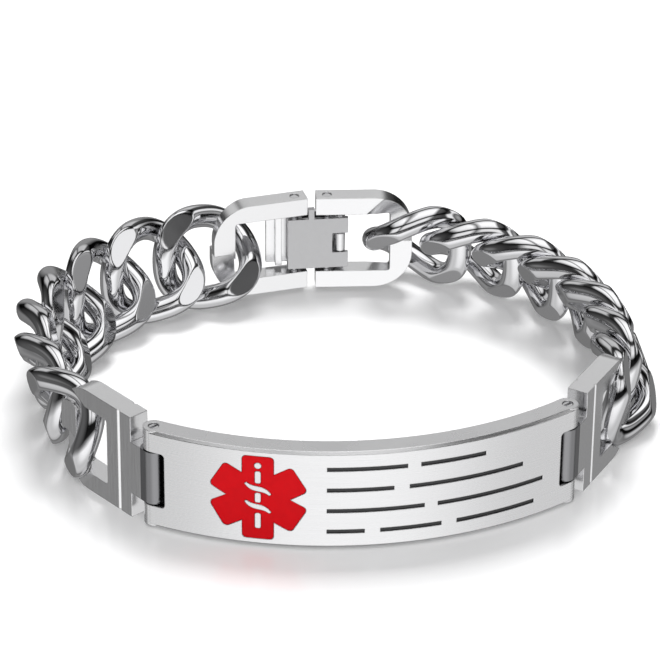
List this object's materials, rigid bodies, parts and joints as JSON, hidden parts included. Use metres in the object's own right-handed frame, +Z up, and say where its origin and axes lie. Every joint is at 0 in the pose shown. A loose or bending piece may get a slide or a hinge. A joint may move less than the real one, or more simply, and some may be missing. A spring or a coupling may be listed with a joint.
{
  "type": "medical alert bracelet",
  "caption": "Closed curb-chain bracelet standing on edge: curved identity plate with a red six-armed medical emblem, hinged end connectors, twisted links and a fold-over clasp.",
  "frame": {"origin": "middle of the closed loop's box in plan, on the surface that the bracelet stands on", "axes": "+Z up, across the width of the band; the identity plate faces -Y, the clasp is at +Y; +X is to the right of a viewer who faces the plate"},
  "size_m": [0.0724, 0.0614, 0.0128],
  "materials": {
    "brushed_steel": "fine satin brushing, stainless steel",
    "polished_steel": "mirror polish, stainless steel",
    "red_enamel": "glossy enamel fill"
  },
  "bodies": {
    "bracelet": {"id_plate": "brushed_steel", "emblem_enamel": "red_enamel", "plate_pin_left": "brushed_steel", "plate_pin_right": "brushed_steel", "connector_left": "brushed_steel", "connector_right": "brushed_steel", "clasp_loop_left": "polished_steel", "clasp_loop_right": "polished_steel", "clasp_pin_left": "brushed_steel", "clasp_pin_right": "brushed_steel", "clasp_leaf": "polished_steel", "cover_hinge_pin": "brushed_steel", "left_link_1": "polished_steel", "left_link_2": "polished_steel", "left_link_3": "polished_steel", "left_link_4": "polished_steel", "left_link_5": "polished_steel", "left_link_6": "polished_steel", "left_link_7": "polished_steel", "right_link_1": "polished_steel", "right_link_2": "polished_steel", "right_link_3": "polished_steel", "right_link_4": "polished_steel", "right_link_5": "polished_steel", "right_link_6": "polished_steel", "right_link_7": "polished_steel"},
    "clasp_cover": {"clasp_cover": "polished_steel"}
  },
  "joints": [
    {"name": "cover_hinge", "type": "hinge", "parent": "bracelet", "child": "clasp_cover", "pos_m": [0.00353, 0.0258, 0.0068], "axis": [0, 0, -1], "range_deg": [0, 110]}
  ]
}
